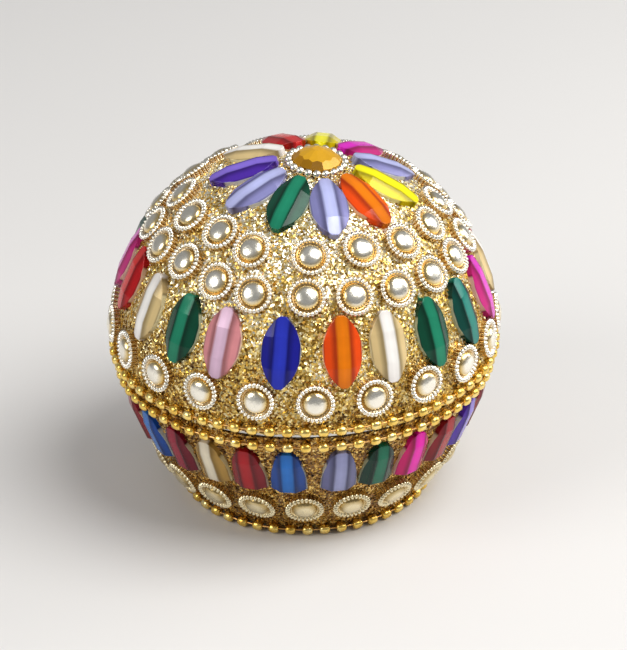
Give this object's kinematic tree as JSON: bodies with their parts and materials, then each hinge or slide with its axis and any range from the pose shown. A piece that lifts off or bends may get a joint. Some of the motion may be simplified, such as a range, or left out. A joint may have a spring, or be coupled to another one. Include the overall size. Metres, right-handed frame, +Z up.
{
  "type": "sweet box",
  "caption": "Small round box with a domed lid, covered in glittering lac and set with faceted stones, metal studs and bead chains.",
  "frame": {"origin": "centre of the flat underside of the base, the plane the box stands on", "axes": "+Z up along the box's round axis, -Y towards the pictured front, +X to the right of that view"},
  "size_m": [0.0776, 0.0776, 0.0725],
  "materials": {
    "sheet": "satin",
    "lac": "glitter in clear lac",
    "chain": "bright, faceted",
    "stud": "bright, pale gold",
    "stone_red": "foil-backed, polished",
    "stone_blue": "foil-backed, polished",
    "stone_maroon": "foil-backed, polished",
    "stone_champagne": "foil-backed, polished",
    "stone_lavender": "foil-backed, polished",
    "stone_green": "foil-backed, polished",
    "stone_magenta": "foil-backed, polished",
    "stone_purple": "foil-backed, polished",
    "stone_pink": "foil-backed, polished",
    "stone_orange": "foil-backed, polished",
    "stone_teal": "foil-backed, polished",
    "stone_yellow": "foil-backed, polished",
    "stone_amber": "foil-backed, polished"
  },
  "bodies": {
    "base": {"base_bowl": "sheet", "base_coat": "lac", "base_rim_chain": "chain", "base_foot_chain": "chain", "base_studs": "stud", "base_stones_red": "stone_red", "base_stones_blue": "stone_blue", "base_stones_maroon": "stone_maroon", "base_stones_champagne": "stone_champagne", "base_stones_lavender": "stone_lavender", "base_stones_green": "stone_green", "base_stones_magenta": "stone_magenta", "base_stones_purple": "stone_purple"},
    "lid": {"lid_shell": "sheet", "lid_coat": "lac", "lid_rim_chain": "chain", "lid_studs_low": "stud", "lid_studs_middle": "stud", "lid_studs_high": "stud", "lid_stones_red": "stone_red", "lid_stones_champagne": "stone_champagne", "lid_stones_green": "stone_green", "lid_stones_pink": "stone_pink", "lid_stones_blue": "stone_blue", "lid_stones_orange": "stone_orange", "lid_stones_teal": "stone_teal", "lid_stones_magenta": "stone_magenta", "crown_petals_red": "stone_red", "crown_petals_champagne": "stone_champagne", "crown_petals_purple": "stone_purple", "crown_petals_lavender": "stone_lavender", "crown_petals_green": "stone_green", "crown_petals_orange": "stone_orange", "crown_petals_yellow": "stone_yellow", "crown_petals_magenta": "stone_magenta", "crown_jewel": "stone_amber", "crown_bead_ring": "stud"}
  },
  "joints": [
    {"name": "lid_lift", "type": "slide", "parent": "base", "child": "lid", "axis": [0, 0, 1], "range_m": [0, 0.08]}
  ]
}
